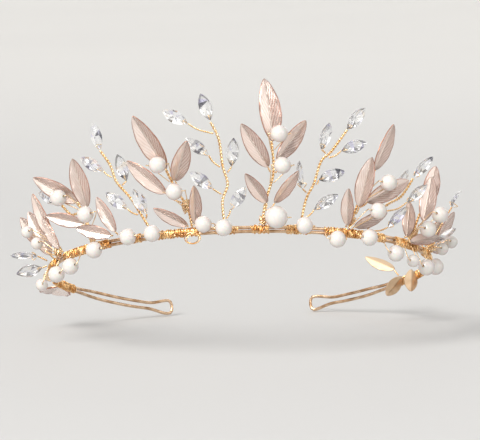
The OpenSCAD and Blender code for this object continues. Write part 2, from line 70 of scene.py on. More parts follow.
# %% [markdown]
# The band lies in a plane that leans back, so that its front stands higher than its ends. Angles round the
# band are counted from the front centre, and heights from the band's own plane, so each measured point is
# first turned into that plane.

# %% The plane of the band
opening = next(m for m in frame["record"]["mounts"] if m["name"] == "head_opening")
TO_BAND = np.array(Vector(opening["axis"]).rotation_difference(Vector((0, 0, 1))).to_matrix())


def in_band(points):
    """Points in the band's plane: angle from the front in degrees, radius and height in metres."""
    q = np.atleast_2d(points) @ TO_BAND.T
    angle = np.degrees(np.arctan2(q[:, 0], -q[:, 1]))
    return angle, np.hypot(q[:, 0], q[:, 1]), q[:, 2]


def from_band(angle, radius, height):
    """A point from its angle round the band, its radius and its height."""
    a = math.radians(angle)
    return np.array([radius * math.sin(a), -radius * math.cos(a), height]) @ TO_BAND


BAND_RADIUS = float(np.median(in_band([v.co for v in nodes["band_wire"].data.vertices])[1]))
print("band radius", round(BAND_RADIUS / MM, 2), "mm")

# %% [markdown]
# A sub-part such as a stem holds several separate solids. Its mesh is loose triangles, so equal corners are
# joined first, and then the number of the lowest corner is spread over the triangles until each solid has a
# number of its own.

# %% Separate the solids of a sub-part
def solids(name):
    """The solids of a sub-part, each as its corner points and its triangles."""
    mesh = nodes[name].data
    mesh.calc_loop_triangles()
    raw = np.empty(len(mesh.vertices) * 3, np.float32)
    mesh.vertices.foreach_get("co", raw)
    corners, number = np.unique(raw.reshape(-1, 3).round(7), axis=0, return_inverse=True)
    triangles = np.empty(len(mesh.loop_triangles) * 3, np.int32)
    mesh.loop_triangles.foreach_get("vertices", triangles)
    triangles = number.ravel()[triangles].reshape(-1, 3)
    owner = np.arange(len(corners))
    while True:
        spread = owner.copy()
        np.minimum.at(spread, triangles.ravel(), np.repeat(owner[triangles].min(1), 3))
        if (spread == owner).all():
            break
        owner = spread
    found = []
    for first in np.unique(owner):
        mine = np.flatnonzero(owner == first)
        place = np.full(len(corners), -1)
        place[mine] = np.arange(len(mine))
        found.append((corners[mine].astype(float), place[triangles[owner[triangles[:, 0]] == first]]))
    return found


# %% [markdown]
# Each plain wire is a tube of rings. A walk from the ring at its end, always on to the corners that touch the
# last ring, gives the rings in order, and their middles are the wire's centre line. The end ring is a flat
# set of six corners that all lie equally far from their own middle.

# %% Find the centre line of a wire
def walk(points, triangles, start, ahead=None):
    """The middles of a tube's rings, in order, from a starting ring."""
    touching = [set() for _ in points]
    for t in triangles:
        for corner in t:
            touching[corner].update(int(c) for c in t)
    ring, seen, line = set(start), set(start), []
    while ring:
        line.append(points[list(ring)].mean(0))
        ring = set().union(*(touching[c] for c in ring)) - seen
        if ahead is not None:
            ring, ahead = {c for c in ring if ahead[c]}, None
        seen |= ring
    return np.array(line)


def end_ring(points, triangles):
    """The corners of one flat end of a tube, and its radius."""
    for t in triangles:
        a, b, c = points[t]
        across = np.cross(b - a, c - a)
        across /= max(np.linalg.norm(across), 1e-12)
        near = np.linalg.norm(points - a, axis=1) < 2 * max(np.linalg.norm(b - a), np.linalg.norm(c - b))
        flat = np.flatnonzero(near & (np.abs((points - a) @ across) < 1e-6))
        reach = np.linalg.norm(points[flat] - points[flat].mean(0), axis=1)
        if len(flat) == 6 and np.ptp(reach) < 0.02 * reach.mean():
            return flat, reach.mean()
    raise ValueError("a wire has no flat end")


def wires_of(name):
    """The wires of a sub-part, each as its centre line and its diameter."""
    found = []
    for points, triangles in solids(name):
        start, radius = end_ring(points, triangles)
        found.append((walk(points, triangles, start), 2 * radius))
    return found


WIRE_NODES = [n for n in nodes if n.endswith(("_stem", "_wire", "_wires")) or "pearl_wires" in n]
WIRE_NODES.remove("band_wire")
WIRES = {n: wires_of(n) for n in sorted(WIRE_NODES)}
print(sum(len(w) for w in WIRES.values()), "wires measured in", len(WIRES), "sub-parts")

# %% [markdown]
# The camera and the cords of a scene come first. This scene has no cords. The camera stands in front, a
# little above the tiara and well back, with a long lens, and leans slightly, so the right side is raised.

# %% Camera
CAMERA_RISE = math.radians(6)
CAMERA_ROLL = math.radians(1.7)
CAMERA_AWAY = 1.2
CAMERA_LENS = 244
AIM_UP = 0.0179
camera = bpy.data.objects.new("camera", bpy.data.cameras.new("camera"))
bpy.context.scene.collection.objects.link(camera)
bpy.context.scene.camera = camera
ahead = Vector((0, math.cos(CAMERA_RISE), -math.sin(CAMERA_RISE)))
level = ahead.to_track_quat("-Z", "Y").to_matrix()
turned = Matrix.Rotation(CAMERA_ROLL, 3, ahead) @ level
stand = Matrix.Translation(turned.col[1] * AIM_UP - ahead * CAMERA_AWAY)
camera.matrix_world = stand @ turned.to_4x4()
camera.data.lens = CAMERA_LENS
camera.data.clip_end = 20
print("camera at", camera.location)

# %% [markdown]
# The stage is one pale sheet under and all round the tiara, like a wide bowl: a flat floor whose rim curves
# up into a wall, open at the top. It has no corner, so no line shows behind the object from any side.

# %% Small helpers for edit mode
def nothing_selected():
    """Leaves every object unselected, because an operator acts on all that is selected."""
    if bpy.context.object and bpy.context.object.mode != "OBJECT":
        bpy.ops.object.mode_set(mode="OBJECT")
    bpy.ops.object.select_all(action="DESELECT")


def pick(obj, test):
    """Selects, in edit mode, only the corners whose place passes a test."""
    bpy.ops.mesh.select_all(action="DESELECT")
    bpy.ops.object.mode_set(mode="OBJECT")
    for v in obj.data.vertices:
        v.select = bool(test(v.co))
    bpy.ops.object.mode_set(mode="EDIT")


def active(obj):
    """Makes one object the selected, active one."""
    nothing_selected()
    obj.select_set(True)
    bpy.context.view_layer.objects.active = obj
    return obj


# %% Stage
FLOOR_RADIUS = 6.0
FLOOR_GAP = 0.0005
WALL_STEPS = 8
nothing_selected()
bpy.ops.mesh.primitive_circle_add(vertices=96, radius=FLOOR_RADIUS, fill_type="NGON",
                                  location=(0, 0, low.z - FLOOR_GAP))
stage = bpy.context.object
stage.name = "stage_sheet"
bpy.ops.object.mode_set(mode="EDIT")
bpy.ops.mesh.select_mode(type="VERT")
bpy.ops.mesh.select_all(action="SELECT")
bpy.ops.mesh.region_to_loop()
for step in range(1, WALL_STEPS + 1):
    turn = math.radians(90 * step / WALL_STEPS)
    before = math.radians(90 * (step - 1) / WALL_STEPS)
    reach = FLOOR_RADIUS + math.sin(turn)
    last = FLOOR_RADIUS + math.sin(before)
    bpy.ops.mesh.extrude_region_move(
        TRANSFORM_OT_translate={"value": (0, 0, math.cos(before) - math.cos(turn))})
    bpy.ops.transform.resize(value=(reach / last, reach / last, 1))
bpy.ops.object.mode_set(mode="OBJECT")
bpy.ops.object.transform_apply(location=True, rotation=True, scale=True)
bpy.ops.object.shade_smooth()
stage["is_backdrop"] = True
print("stage out to", round(FLOOR_RADIUS + 1, 2), "m")


# %% [markdown]
# Finishes are made of nodes. A short helper adds a node and sets its sockets, so that each finish reads as a
# recipe. Patterns that several finishes share are node groups with named sockets.

# %% Helpers for finishes
def add(tree, kind, inputs=None, **settings):
    """Adds a node, sets its properties, and sets or links its inputs."""
    node = tree.nodes.new(kind)
    for key, value in settings.items():
        setattr(node, key, value)
    for key, value in (inputs or {}).items():
        if isinstance(value, bpy.types.NodeSocket):
            tree.links.new(value, node.inputs[key])
        else:
            node.inputs[key].default_value = value
    return node


def math_node(tree, operation, a, b=0.0, clamp=False):
    """One arithmetic step, as its result."""
    return add(tree, "ShaderNodeMath", {0: a, 1: b}, operation=operation, use_clamp=clamp).outputs[0]


def mix_colour(tree, share, a, b):
    """A blend of two colours by a share from 0 to 1."""
    node = add(tree, "ShaderNodeMix", {"Factor": share}, data_type="RGBA")
    for socket, value in ((node.inputs[6], a), (node.inputs[7], b)):
        if isinstance(value, bpy.types.NodeSocket):
            tree.links.new(value, socket)
        else:
            socket.default_value = (*value, 1)
    return node.outputs[2]


def ramp(tree, value, stops):
    """A smooth step of values, from a list of (place, value)."""
    node = add(tree, "ShaderNodeValToRGB", {"Fac": value})
    node.color_ramp.interpolation = "EASE"
    elements = node.color_ramp.elements
    while len(elements) < len(stops):
        elements.new(0.5)
    for element, (place, level) in zip(elements, stops):
        element.position = place
        element.color = (level, level, level, 1) if isinstance(level, (int, float)) else (*level, 1)
    return node.outputs["Color"]


def finish(name):
    """A new material, as its node tree and its Principled node."""
    made = bpy.data.materials.new(name)
    made.use_nodes = True
    return made, made.node_tree, made.node_tree.nodes["Principled BSDF"]


def group(name, inputs, outputs):
    """A new node group with named sockets, as the group, its input node and its output node."""
    made = bpy.data.node_groups.new(name, "ShaderNodeTree")
    for label, kind, value in inputs:
        socket = made.interface.new_socket(label, in_out="INPUT", socket_type=kind)
        socket.default_value = value
    for label, kind in outputs:
        made.interface.new_socket(label, in_out="OUTPUT", socket_type=kind)
    return made, made.nodes.new("NodeGroupInput"), made.nodes.new("NodeGroupOutput")


# %% [markdown]
# Plated metal is never one even colour. The plating is thicker in some places, handling leaves soft dull
# patches, and tiny scratches catch the light. This group gives all three as values that any metal can use.

# %% Shared pattern: plated metal
PLATING, start, end = group(
    "plated_metal",
    [("Scale", "NodeSocketFloat", 300.0), ("Roughness", "NodeSocketFloat", 0.2)],
    [("Tone", "NodeSocketFloat"), ("Roughness", "NodeSocketFloat"), ("Height", "NodeSocketFloat")])
place = add(PLATING, "ShaderNodeTexCoord").outputs["Object"]
patches = add(PLATING, "ShaderNodeTexNoise",
              {"Vector": place, "Scale": start.outputs["Scale"], "Detail": 3.0}).outputs["Fac"]
fine_scale = math_node(PLATING, "MULTIPLY", start.outputs["Scale"], 9.0)
grain = add(PLATING, "ShaderNodeTexNoise",
            {"Vector": place, "Scale": fine_scale, "Detail": 2.0}).outputs["Fac"]
spread = math_node(PLATING, "MULTIPLY", math_node(PLATING, "SUBTRACT", patches, 0.5), 0.3)
PLATING.links.new(patches, end.inputs["Tone"])
PLATING.links.new(math_node(PLATING, "ADD", start.outputs["Roughness"], spread, True),
                  end.inputs["Roughness"])
PLATING.links.new(grain, end.inputs["Height"])
print("shared pattern:", PLATING.name)


def metal(name, light, dark, roughness, scale=300.0, bump=0.05):
    """A plated metal that wanders between two tones."""
    made, tree, shader = finish(name)
    plating = add(tree, "ShaderNodeGroup", node_tree=PLATING)
    plating.inputs["Scale"].default_value = scale
    plating.inputs["Roughness"].default_value = roughness
    tone = ramp(tree, plating.outputs["Tone"], [(0.35, dark), (0.65, light)])
    tree.links.new(tone, shader.inputs["Base Color"])
    tree.links.new(plating.outputs["Roughness"], shader.inputs["Roughness"])
    relief = add(tree, "ShaderNodeBump", {"Height": plating.outputs["Height"], "Strength": bump,
                                          "Distance": 0.0001})
    tree.links.new(relief.outputs["Normal"], shader.inputs["Normal"])
    shader.inputs["Metallic"].default_value = 1.0
    return made


# %% Finishes of the wires
BAND_GOLD = metal("band_gold", (0.78, 0.56, 0.38), (0.52, 0.32, 0.18), 0.12)
STEM_GOLD = metal("stem_gold", (0.95, 0.72, 0.44), (0.80, 0.52, 0.26), 0.16)
BINDING_GOLD = metal("binding_gold", (0.97, 0.69, 0.37), (0.62, 0.30, 0.09), 0.13, 500.0)
THREAD_GOLD = metal("thread_gold", (0.95, 0.75, 0.50), (0.85, 0.60, 0.36), 0.18)
print("four golds")

# %% [markdown]
# A leaf is stamped from thin brass and plated in rose gold. The stamp leaves a raised midrib, and veins that
# run from it towards the tip and the rim. The midrib's line is painted paler as well, as a painted highlight.
# On one half of each leaf the veins are engraved as fine dark lines, and the other half is left satin. The
# leaf's own UV map runs across the leaf and along it, so lines in that map follow its shape.

# %% Shared pattern: the veins of a leaf
VEINS, start, end = group(
    "leaf_veins", [("Number", "NodeSocketFloat", 11.0), ("Slant", "NodeSocketFloat", 0.9)],
    [("Vein", "NodeSocketFloat"), ("Midrib", "NodeSocketFloat"), ("Rim", "NodeSocketFloat"),
     ("Side", "NodeSocketFloat")])
uv = add(VEINS, "ShaderNodeSeparateXYZ", {0: add(VEINS, "ShaderNodeUVMap", uv_map="UVMap").outputs[0]})
across = math_node(VEINS, "SUBTRACT", uv.outputs["X"], 0.5)
out = math_node(VEINS, "ABSOLUTE", across)
wander = add(VEINS, "ShaderNodeTexNoise", {"Vector": add(VEINS, "ShaderNodeTexCoord").outputs["Object"],
                                           "Scale": 260.0, "Detail": 2.0}).outputs["Fac"]
along = math_node(VEINS, "SUBTRACT", uv.outputs["Y"],
                  math_node(VEINS, "MULTIPLY", out, start.outputs["Slant"]))
along = math_node(VEINS, "ADD", along, math_node(VEINS, "MULTIPLY", wander, 0.12))
wave = math_node(VEINS, "FRACT", math_node(VEINS, "MULTIPLY", along, start.outputs["Number"]))
ridge = math_node(VEINS, "ABSOLUTE", math_node(VEINS, "SUBTRACT", wave, 0.5))
for label, value, stops in (
        ("Vein", ridge, [(0.04, 1.0), (0.2, 0.0)]),
        ("Midrib", out, [(0.012, 1.0), (0.055, 0.0)]),
        ("Rim", out, [(0.42, 0.0), (0.47, 1.0)]),
        ("Side", uv.outputs["X"], [(0.48, 0.0), (0.54, 1.0)])):
    VEINS.links.new(ramp(VEINS, value, stops), end.inputs[label])
print("shared pattern:", VEINS.name)


def leaf_face(name):
    """Rose gold with engraved veins: the tone attribute says how dark each leaf is."""
    made, tree, shader = finish(name)
    plating = add(tree, "ShaderNodeGroup", node_tree=PLATING)
    plating.inputs["Roughness"].default_value = 0.17
    veins = add(tree, "ShaderNodeGroup", node_tree=VEINS)
    veins.inputs["Number"].default_value = 9.0
    veins.inputs["Slant"].default_value = 0.9
    fine = add(tree, "ShaderNodeGroup", node_tree=VEINS)
    fine.inputs["Number"].default_value = 22.0
    fine.inputs["Slant"].default_value = 1.3
    tone = add(tree, "ShaderNodeAttribute", attribute_name="tone").outputs["Fac"]
    satin = mix_colour(tree, plating.outputs["Tone"], (1.0, 0.79, 0.70), (1.0, 0.90, 0.84))
    engraved = math_node(tree, "MULTIPLY", fine.outputs["Vein"], veins.outputs["Side"])
    engraved = math_node(tree, "MULTIPLY", engraved, math_node(tree, "ADD", 0.4, tone))
    depth = math_node(tree, "ADD", 0.2, math_node(tree, "MULTIPLY", veins.outputs["Side"], 0.5))
    veined = math_node(tree, "MULTIPLY", veins.outputs["Vein"], depth)
    dark = math_node(tree, "MAXIMUM", engraved, veined)
    dark = math_node(tree, "MAXIMUM", dark, math_node(tree, "MULTIPLY", veins.outputs["Rim"], 0.8))
    colour = mix_colour(tree, dark, satin, (0.42, 0.17, 0.11))
    # painted highlight: the midrib is painted paler than the rest of the leaf
    colour = mix_colour(tree, veins.outputs["Midrib"], colour, (1.0, 0.86, 0.76))
    tree.links.new(colour, shader.inputs["Base Color"])
    height = math_node(tree, "SUBTRACT", veins.outputs["Midrib"],
                       math_node(tree, "MULTIPLY", dark, 0.6))
    relief = add(tree, "ShaderNodeBump", {"Height": height, "Strength": 1.0, "Distance": 0.0005})
    tree.links.new(relief.outputs["Normal"], shader.inputs["Normal"])
    tree.links.new(plating.outputs["Roughness"], shader.inputs["Roughness"])
    shader.inputs["Metallic"].default_value = 0.62
    shader.inputs["Coat Weight"].default_value = 0.5
    return made


# %% Finishes of the leaves
LEAF_FACE = leaf_face("rose_gold_veined")
LEAF_BACK = metal("pale_gold_back", (0.66, 0.50, 0.34), (0.54, 0.38, 0.24), 0.48, 150.0, 0.15)
LEAF_RIM = metal("rose_gold_rim", (0.62, 0.34, 0.24), (0.36, 0.18, 0.12), 0.22)
print("leaf finishes ready")

# %% [markdown]
# The leaf itself starts as a flat grid. Its columns are raised towards the rim, which folds the leaf along
# its midrib, and each row is then drawn in to the leaf's width at that height. Solidify gives the sheet its
# thickness, with the plain back and the rim as finishes of their own. The leaf is modelled once, one unit
# long, and every leaf on the tiara is a copy of it.

# %% One leaf
LEAF_COLUMNS = 12
LEAF_ROWS = 26
LEAF_SLIM = 0.38
LEAF_FOLD = math.tan(math.radians(20))
LEAF_SHEET = 0.024


def leaf_half(k):
    """Half the width of a leaf, as a share of its length, at a share k of the way to its tip."""
    base, tip = 0.02, 0.004
    body = (LEAF_SLIM / 2 - base) * max(math.sin(math.pi * k ** 0.93), 0) ** 0.7
    return base * (1 - k) + tip * k + body


nothing_selected()
bpy.ops.mesh.primitive_grid_add(x_subdivisions=LEAF_COLUMNS, y_subdivisions=LEAF_ROWS, size=1,
                                location=(0, 0, 0), calc_uvs=True)
leaf = bpy.context.object
leaf.name = "leaf_pattern"
bpy.ops.object.mode_set(mode="EDIT")
bpy.ops.mesh.select_mode(type="VERT")
for column in range(LEAF_COLUMNS + 1):
    x = column / LEAF_COLUMNS - 0.5
    pick(leaf, lambda p: abs(p.x - x) < 0.01)
    cup = abs(x) * LEAF_FOLD * (1.15 - 0.3 * abs(x))
    bpy.ops.transform.translate(value=(0, 0.5, cup))
for row in range(LEAF_ROWS + 1):
    k = row / LEAF_ROWS
    pick(leaf, lambda p: abs(p.y - k) < 0.01)
    width = 2 * leaf_half(k)
    bpy.ops.transform.resize(value=(width, 1, width), center_override=(0, k, 0))
    flute = 0.006 * math.sin(7 * math.pi * k)
    pick(leaf, lambda p: abs(p.y - k) < 0.01 and abs(p.x) > 0.35 * width)
    bpy.ops.transform.translate(value=(0, 0, flute * math.sin(math.pi * k)))
bpy.ops.object.mode_set(mode="OBJECT")
for finish_of_leaf in (LEAF_FACE, LEAF_BACK, LEAF_RIM):
    leaf.data.materials.append(finish_of_leaf)
active(leaf)
sheet = leaf.modifiers.new("sheet", "SOLIDIFY")
sheet.thickness = LEAF_SHEET
sheet.offset = -1
sheet.material_offset = 1
sheet.material_offset_rim = 2
smooth = leaf.modifiers.new("smooth", "SUBSURF")
smooth.levels = smooth.render_levels = 1
for modifier in ("sheet", "smooth"):
    bpy.ops.object.modifier_apply(modifier=modifier)
bpy.ops.object.shade_smooth()
print("leaf pattern:", len(leaf.data.polygons), "faces")

# %% [markdown]
# Every plain leaf in the frame tells where its copy goes. Its two far ends are the base and the tip, and the
# base is the wider of them. The two corners farthest from the line between them give its width, and their
# side of the midrib is the hollow side. How far the middle stands off that line is how much the leaf bows.

# %% Place a leaf on each plain one
LEAF_FIT = 0.98
EXTRA_BOW = 0.2 * MM
LEAF_TONES = (0.1, 0.75)


def leaf_place(points):
    """Base, tip, direction across and bow of a plain leaf."""
    middle = points.mean(0)
    long_way = np.linalg.svd(points - middle)[2][0]
    share = (points - middle) @ long_way
    ends = []
    for side in (share < share.min() + 2e-4, share > share.max() - 2e-4):
        end_points = points[side]
        ends.append((np.ptp(end_points, axis=0).max(), end_points.mean(0)))
    ends.sort(key=lambda e: -e[0])
    base, tip = ends[0][1], ends[1][1]
    along = (tip - base) / np.linalg.norm(tip - base)
    off = points - base - np.outer((points - base) @ along, along)
    wide_way = np.linalg.svd(off)[2][0]
    reach = off @ wide_way
    hollow = np.cross(wide_way, along)
    rims = off[np.abs(reach) > 0.9 * np.abs(reach).max()] @ hollow
    centre_line = np.abs(reach) < 0.05 * np.abs(reach).max()
    height = ((points - base) @ along) / np.linalg.norm(tip - base)
    midway = centre_line & (np.abs(height - 0.5) < 0.1)
    bow = (off[midway] @ hollow).mean()
    if rims.mean() < bow:
        wide_way, hollow, bow = -wide_way, -hollow, -bow
    return base, tip, wide_way, hollow, bow, np.abs(reach).max()


def place_leaves(name, seed):
    """One piece with a copy of the leaf on each plain leaf of a sub-part."""
    draw = random.Random(seed)
    copies = []
    for points, _ in solids(name):
        base, tip, across, hollow, bow, half = leaf_place(points)
        length = np.linalg.norm(tip - base)
        along = (tip - base) / length
        copy = leaf.copy()
        copy.data = leaf.data.copy()
        bpy.context.scene.collection.objects.link(copy)
        co = np.empty(len(copy.data.vertices) * 3, np.float32)
        copy.data.vertices.foreach_get("co", co)
        co = co.reshape(-1, 3).astype(float)
        wide = LEAF_FIT * half / (LEAF_SLIM / 2)
        bend = (bow + EXTRA_BOW) * 4 * co[:, 1] * (1 - co[:, 1])
        placed = (base + np.outer(co[:, 0] * wide, across) + np.outer(co[:, 1] * length, along)
                  + np.outer(co[:, 2] * wide + bend, hollow))
        copy.data.vertices.foreach_set("co", placed.astype(np.float32).ravel())
        tone = copy.data.attributes.new("tone", "FLOAT", "POINT")
        tone.data.foreach_set("value", np.full(len(co), draw.uniform(*LEAF_TONES), np.float32))
        copies.append(copy)
    return join(copies, name + "_stamped")


def join(copies, name):
    """Joins finished copies into one piece at the origin."""
    nothing_selected()
    for copy in copies:
        copy.select_set(True)
    bpy.context.view_layer.objects.active = copies[0]
    if len(copies) > 1:
        bpy.ops.object.join()
    piece = bpy.context.object
    piece.name = piece.data.name = name
    return piece


def stands_for(piece, node, slot):
    """The piece is shown in place of a sub-part of the frame."""
    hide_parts(node)
    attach(piece, "root")
    return piece


# %% Leaves of the sprigs
LEAF_NODES = sorted(n for n in nodes if n.endswith("_leaves"))
for seed, name in enumerate(LEAF_NODES):
    piece = place_leaves(name, seed)
    stands_for(piece, name, "leaf_back" if "_end_" in name else "rose_leaf")
    print(piece.name, len(piece.data.polygons), "faces")
bpy.data.objects.remove(leaf)

# %% [markdown]
# A stem is a pair of thin wires twisted together. Each strand is a helix about the stem's centre line, half a
# turn from the other, so the pair keeps the stem's outer size. The centre line is first smoothed and cut into
# equal steps, and a side direction is carried along it so that the twist stays even round every bend. Spare
# wire is wound round the stem of each sprig in a loose tangle, which stands outside the plain stem.

# %% Twisted wires
def resample(points, step, closed=False):
    """A smooth curve through points, cut into equal steps."""
    p = np.asarray(points, float)
    if closed:
        p = np.vstack([p[-1:], p, p[:2]])
    else:
        p = np.vstack([2 * p[:1] - p[1:2], p, 2 * p[-1:] - p[-2:-1]])
    fine = []
    for a, b, c, d in zip(p, p[1:], p[2:], p[3:]):
        for t in np.linspace(0, 1, 9)[:-1]:
            fine.append((2 * b + (c - a) * t + (2 * a - 5 * b + 4 * c - d) * t * t
                         + (3 * b - 3 * c + d - a) * t ** 3) / 2)
    if not closed:
        fine.append(p[-2])
    fine = np.array(fine)
    gone = np.concatenate([[0], np.linalg.norm(np.diff(fine, axis=0), axis=1).cumsum()])
    count = max(int(gone[-1] / step), 2) + 1
    want = np.linspace(0, gone[-1], count)
    return np.stack([np.interp(want, gone, fine[:, i]) for i in range(3)], axis=1)


def sides(line):
    """Directions along a line, and two square to it that are carried on without a twist."""
    along = np.gradient(line, axis=0)
    along /= np.linalg.norm(along, axis=1, keepdims=True)
    side = np.cross(along[0], (0.31, 0.94, 0.12))
    first = []
    for t in along:
        side = side - (side @ t) * t
        side /= np.linalg.norm(side)
        first.append(side)
    first = np.array(first)
    return along, first, np.cross(along, first)


def twist(points, diameter, pitch, strands=2):
    """The strands of a twisted wire, as lines."""
    line = resample(points, pitch / 8)
    _, one, two = sides(line)
    gone = np.linspace(0, 1, len(line)) * np.linalg.norm(np.diff(line, axis=0), axis=1).sum()
    turn = 2 * math.pi * gone / pitch
    for strand in range(strands):
        a = turn + 2 * math.pi * strand / strands
        yield line + diameter / 4 * (np.cos(a)[:, None] * one + np.sin(a)[:, None] * two)


def tubes(name, lines, radius, finish_of_wire, closed=False, roundness=1):
    """One mesh of round wires along a list of lines."""
    nothing_selected()
    bpy.ops.curve.primitive_nurbs_path_add(location=(0, 0, 0))
    piece = bpy.context.object
    curve = piece.data
    curve.splines.clear()
    for line in lines:
        spline = curve.splines.new("POLY")
        spline.points.add(len(line) - 1)
        spline.points.foreach_set("co", np.c_[line, np.ones(len(line))].astype(np.float32).ravel())
        spline.use_cyclic_u = closed
    curve.bevel_depth = radius
    curve.bevel_resolution = roundness
    curve.use_fill_caps = not closed
    bpy.ops.object.convert(target="MESH")
    piece = bpy.context.object
    bpy.ops.object.mode_set(mode="EDIT")
    bpy.ops.mesh.select_all(action="SELECT")
    bpy.ops.mesh.remove_doubles(threshold=0.001 * MM)
    bpy.ops.mesh.normals_make_consistent(inside=False)
    bpy.ops.object.mode_set(mode="OBJECT")
    piece.data.materials.clear()
    piece.data.materials.append(finish_of_wire)
    bpy.ops.object.shade_smooth()
    piece.name = piece.data.name = name
    return piece


def knot(line, place, reach, turns, draw):
    """A loose tangle of fine wire round a stem, at a share of the way up it."""
    line = resample(sorted((line, line[::-1]), key=lambda way: way[0][2])[0], 0.3 * MM)
    at = int(place * (len(line) - 1))
    along, one, two = (way[at] for way in sides(line))
    t = np.linspace(0, 2 * math.pi * turns, int(12 * turns))
    phase = [draw.uniform(0, 6.3) for _ in range(4)]
    out = reach * (0.62 + 0.38 * np.sin(1.37 * t + phase[0]))
    up = reach * (0.7 * np.sin(0.43 * t + phase[1]) + 0.45 * np.sin(1.21 * t + phase[2]))
    turn = t + 0.5 * np.sin(0.6 * t + phase[3])
    return (line[at] + np.outer(out * np.cos(turn), one) + np.outer(0.7 * out * np.sin(turn), two)
            + np.outer(up, along))


# %% Stems, twigs and threads
THREAD_LIMIT = 0.5 * MM
THREAD_RADIUS = 0.18 * MM
TWIST_PITCH = 2.2
# where the sprigs were tied by hand with spare wire: how far up the stem, how wide, how many turns
KNOTS = {"left_front_stem": (0.34, 1.9 * MM, 9), "left_outer_stem": (0.25, 1.8 * MM, 8),
         "left_side_stem": (0.15, 1.5 * MM, 7), "right_side_stem": (0.2, 1.6 * MM, 8),
         "right_outer_stem": (0.3, 1.8 * MM, 8), "right_front_stem": (0.12, 1.3 * MM, 6),
         "centre_stem": (0.06, 1.3 * MM, 6)}
for name in sorted(WIRES):
    twisted = {}
    threads = []
    for line, diameter in WIRES[name]:
        if diameter < THREAD_LIMIT:
            threads.append(resample(line, 0.4 * MM))
        else:
            twisted.setdefault(round(diameter, 5), []).extend(twist(line, diameter, TWIST_PITCH * diameter))
    if name in KNOTS:
        stem_line = max(WIRES[name], key=lambda wire: wire[1])[0]
        place, reach, turns = KNOTS[name]
        draw = random.Random(name)
        threads += [resample(knot(stem_line, place, reach, turns, draw), 0.25 * MM) for _ in range(2)]
    made = [tubes("strands", lines, diameter / 4, STEM_GOLD) for diameter, lines in twisted.items()]
    if threads:
        made.append(tubes("threads", threads, THREAD_RADIUS, THREAD_GOLD))
    piece = stands_for(join(made, name + "_twisted"), name, "gold_wire")
    print(piece.name, len(piece.data.polygons), "faces")

# %% [markdown]
# The band is one springy wire, bent into a closed hairpin shape that runs twice round the head with a loop at
# each end. The plain band gives its rings in order, and a rounder tube is drawn along the smoothed line.

# %% Band
points, triangles = solids("band_wire")[0]
angle, radius, height = in_band(points)
upper = height > 0
front = angle[upper][np.abs(angle[upper]).argmin()]
start = np.flatnonzero(upper & (np.abs(angle - front) < 1))
band_line = walk(points, triangles, start, ahead=upper & (angle > front))
BAND_WIRE = 2 * np.linalg.norm(points[start] - points[start].mean(0), axis=1).mean()
band = tubes("band_bent", [resample(band_line, 1.2 * MM, closed=True)], BAND_WIRE / 2, BAND_GOLD,
             closed=True, roundness=4)
stands_for(band, "band_wire", "gold_wire")
print("band of", round(BAND_WIRE / MM, 2), "mm wire,", len(band_line), "rings")

# %% [markdown]
# Fine wire is wound round both runs of the band to bind the sprigs on. By hand the turns are never even: they
# crowd, gap and cross. A tight first layer lies on the band, and a loose second layer crosses over it with a
# slant that comes and goes. Both layers stay inside the plain sleeve that they stand for. One spare end, at
# the left front, is rolled into a small curl that hangs outside it.

# %% Binding
FINE_WIRE = 0.34 * MM
TURN_POINTS = 14
TIGHT_PITCH, TIGHT_SLANT = 0.42 * MM, 0.1 * MM
LOOSE_PITCH, LOOSE_SLANT = 0.95 * MM, 0.7 * MM
CURL_ANGLE = -13
CURL_TURNS = 2.3
CURL_REACH = 2.1 * MM
CURL_DROP = 2.6 * MM


def coil(first, last, pitch, reach, run, slant, draw):
    """Turns of wire round the band from one angle to another."""
    mm_per_degree = math.radians(1) * BAND_RADIUS
    turns = max((last - first) * mm_per_degree / pitch, 2)
    t = np.linspace(0, 2 * math.pi * turns, int(turns * TURN_POINTS))
    phase = [draw.uniform(0, 6.3) for _ in range(4)]
    crowd = 0.5 * np.sin(t / 17 + phase[0]) + 0.35 * np.sin(t / 7.3 + phase[1])
    margin = FINE_WIRE / mm_per_degree + slant / mm_per_degree
    a = np.interp(t, [0, t[-1]], [first + margin, last - margin])
    a = a + (crowd * pitch * 1.2 + slant * np.sin(t + phase[2]) * np.sin(t / 5.1 + phase[3])) / mm_per_degree
    a = np.clip(a, first + margin / 2, last - margin / 2)
    reach = reach * (0.95 + 0.05 * np.sin(t / 3.7 + phase[1]))
    out = reach * np.cos(t)
    up = reach * np.sin(t) + run * np.tanh(3 * np.sin(t))
    return np.array([from_band(*p) for p in zip(a, BAND_RADIUS + out, up)])


def curl(at, draw):
    """A spare end of wire, rolled into a small curl that hangs in front of the band."""
    t = np.linspace(0, 2 * math.pi * CURL_TURNS, 70)
    reach = CURL_REACH * (1 - 0.28 * t / t[-1])
    wide = np.degrees(reach * np.cos(t) * 1.35 / BAND_RADIUS)
    up = reach * np.sin(t) - CURL_DROP
    out = 1.5 * MM + 0.9 * MM * np.sin(0.5 * t + draw.uniform(0, 1))
    return np.array([from_band(*p) for p in zip(at + wide, BAND_RADIUS + out, up)])


for seed, name in enumerate(sorted(n for n in nodes if n.startswith("binding_"))):
    draw = random.Random(40 + seed)
    lines = []
    for points, _ in solids(name):
        angle, radius, height = in_band(points)
        outer = radius.max() - BAND_RADIUS
        run = height.max() - outer
        inner_reach, outer_reach = outer - 1.5 * FINE_WIRE, outer - 0.55 * FINE_WIRE
        lines.append(coil(angle.min(), angle.max(), TIGHT_PITCH, inner_reach, run, TIGHT_SLANT, draw))
        lines.append(coil(angle.min(), angle.max(), LOOSE_PITCH, outer_reach, run, LOOSE_SLANT, draw))
    if name == "binding_left_front":
        lines.append(curl(CURL_ANGLE, draw))
    piece = tubes(name + "_coiled", lines, FINE_WIRE / 2, BINDING_GOLD)
    stands_for(piece, name, "gold_wire")
    print(piece.name, len(piece.data.polygons), "faces")
